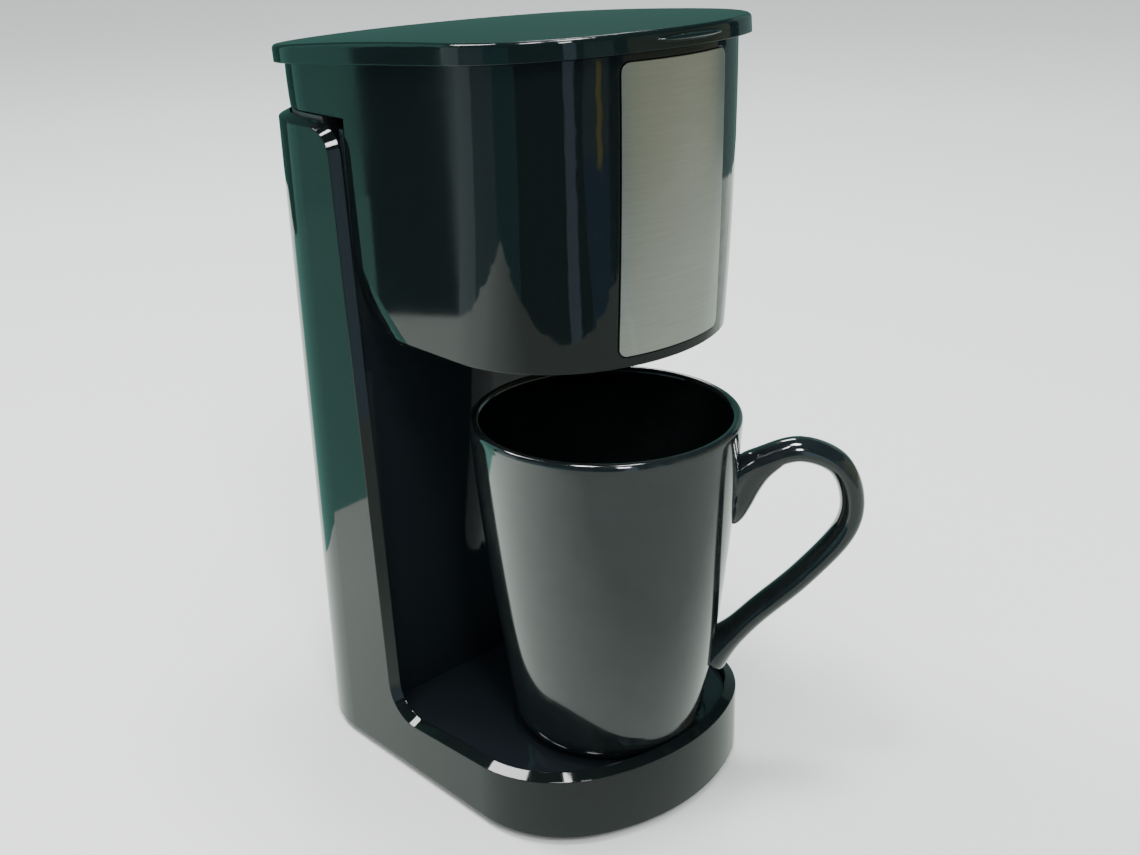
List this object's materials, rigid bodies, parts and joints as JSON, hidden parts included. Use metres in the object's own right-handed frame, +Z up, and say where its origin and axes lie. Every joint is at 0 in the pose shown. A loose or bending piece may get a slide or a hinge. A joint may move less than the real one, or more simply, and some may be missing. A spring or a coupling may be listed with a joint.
{
  "type": "single-serve drip coffee maker",
  "caption": "Single-serve drip coffee maker: C-shaped black column and base, oval brew head with a steel front plate, sloping hinged lid, and a black ceramic mug on its platform.",
  "frame": {"origin": "on the floor under the centre of the whole object's bounding box, mug handle included", "axes": "+Z up, +X to the right seen from the front, +Y to the rear; the machine's own mid-plane is at X = -0.0053"},
  "size_m": [0.1164, 0.176, 0.2539],
  "materials": {
    "shell_black": "high gloss black ABS",
    "inner_black": "gloss black, inner panels",
    "lid_black": "gloss black with a fine satin grain",
    "satin_black": "satin black moulding",
    "steel_plate": "fine brushed stainless steel",
    "ceramic_black": "black glaze",
    "tank_smoke": "smoke-grey polypropylene",
    "mesh": "woven stainless mesh",
    "wire_steel": "bright drawn steel",
    "silicone": "translucent white silicone",
    "rubber": "matt black rubber",
    "aluminium": "die-cast aluminium",
    "zinc_steel": "zinc-plated steel",
    "ivory": "unfilled nylon",
    "lead_white": "silicone-glass sleeving, white",
    "lead_brown": "brown insulation",
    "lead_blue": "blue insulation",
    "rocker_red": "translucent red rocker"
  },
  "bodies": {
    "machine": {"body_shell": "shell_black", "cup_platform": "inner_black", "column_panel": "inner_black", "head_housing": "shell_black", "head_cover": "satin_black", "front_plate": "steel_plate", "basket_holder": "satin_black", "water_tank": "tank_smoke", "tank_strainer": "ivory", "valve_body": "ivory", "inlet_hose": "silicone", "riser_hose": "silicone", "hose_clips": "wire_steel", "outlet_nozzle": "satin_black", "nozzle_seal": "silicone", "heater_casting": "aluminium", "heater_water_tube": "aluminium", "heater_element": "wire_steel", "heater_bracket": "zinc_steel", "thermostat": "zinc_steel", "thermal_fuse": "lead_white", "bottom_cover": "satin_black", "feet": "rubber", "cover_screws": "zinc_steel", "cord_gland": "satin_black", "cord_clamp": "ivory", "terminal_block": "ivory", "lead_live": "lead_brown", "lead_switched": "lead_brown", "lead_thermostat": "lead_white", "lead_fuse": "lead_white", "lead_neutral": "lead_blue", "switch_housing": "satin_black", "lid_hinge_pin": "wire_steel"},
    "lid": {"lid_cover": "lid_black", "lid_liner": "satin_black", "lid_water_channel": "satin_black", "shower_head": "satin_black"},
    "basket": {"filter_basket": "satin_black", "mesh_filter": "mesh", "filter_ring": "satin_black"},
    "bail": {"filter_bail": "wire_steel"},
    "valve": {"valve_ball": "silicone"},
    "rocker": {"switch_rocker": "rocker_red"},
    "mug": {"mug": "ceramic_black"}
  },
  "joints": [
    {"name": "lid_hinge", "type": "hinge", "parent": "machine", "child": "lid", "pos_m": [-0.0053, 0.0842, 0.2346], "axis": [-1, 0, 0], "range_deg": [0, 95]},
    {"name": "basket_lift", "type": "slide", "parent": "machine", "child": "basket", "axis": [0, 0, 1], "range_m": [0, 0.058]},
    {"name": "bail_fold", "type": "hinge", "parent": "basket", "child": "bail", "pos_m": [-0.0053, -0.0172, 0.2362], "axis": [-1, 0, 0], "range_deg": [0, 82]},
    {"name": "rocker_tilt", "type": "hinge", "parent": "machine", "child": "rocker", "pos_m": [0.0467, 0.0478, 0.062], "axis": [0, 1, 0], "range_deg": [0, 12]},
    {"name": "valve_rise", "type": "slide", "parent": "machine", "child": "valve", "axis": [0, 0, 1], "range_m": [0, 0.0035]},
    {"name": "mug_lift", "type": "slide", "parent": "machine", "child": "mug", "axis": [0, 0, 1], "range_m": [0, 0.02]}
  ],
  "couplings": [
    {"joint": "basket_lift", "follows": "lid_hinge", "m_per_rad": 0.0345},
    {"joint": "bail_fold", "follows": "lid_hinge", "ratio": 0.85}
  ]
}
